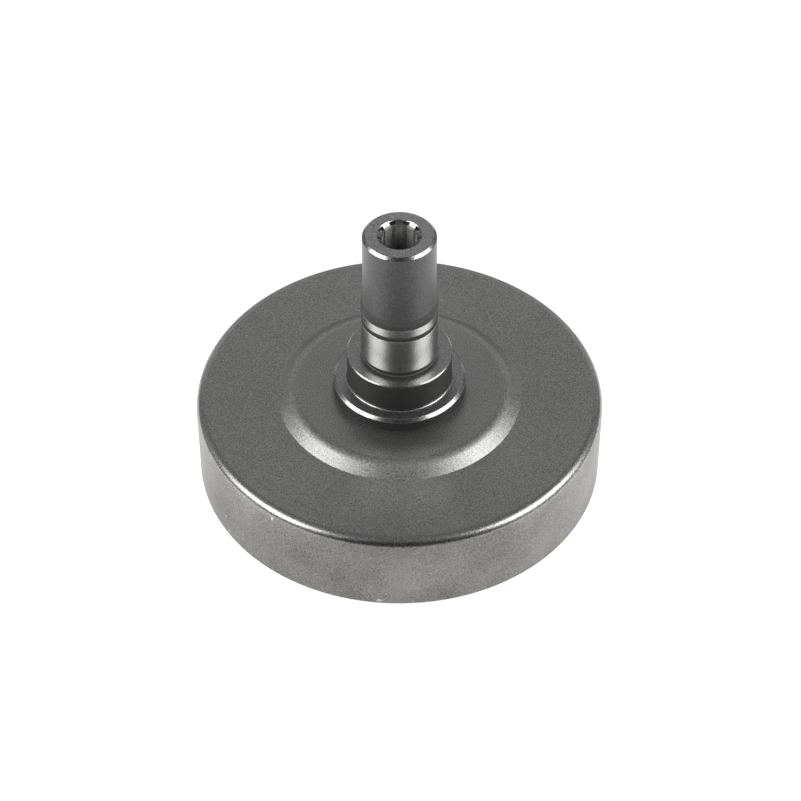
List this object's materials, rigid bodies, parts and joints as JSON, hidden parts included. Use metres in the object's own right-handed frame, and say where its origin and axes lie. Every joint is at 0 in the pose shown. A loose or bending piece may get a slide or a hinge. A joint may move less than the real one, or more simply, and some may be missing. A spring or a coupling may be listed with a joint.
{
  "type": "clutch drum",
  "caption": "Deep-drawn steel clutch cup, open side down, with a raised web seat and a staked turned spindle: bearing seat, circlip groove and internally splined nose.",
  "frame": {"origin": "centre of the rim plane, on the axis of rotation", "axes": "+Z along the axis of rotation, from the open rim towards the splined nose; one spline tooth lies on +Y"},
  "size_m": [0.08, 0.08, 0.0584],
  "materials": {
    "drum_steel": "satin",
    "spindle_steel": "satin"
  },
  "bodies": {
    "root": {"drum_cup": "drum_steel", "spindle": "spindle_steel"}
  },
  "joints": []
}
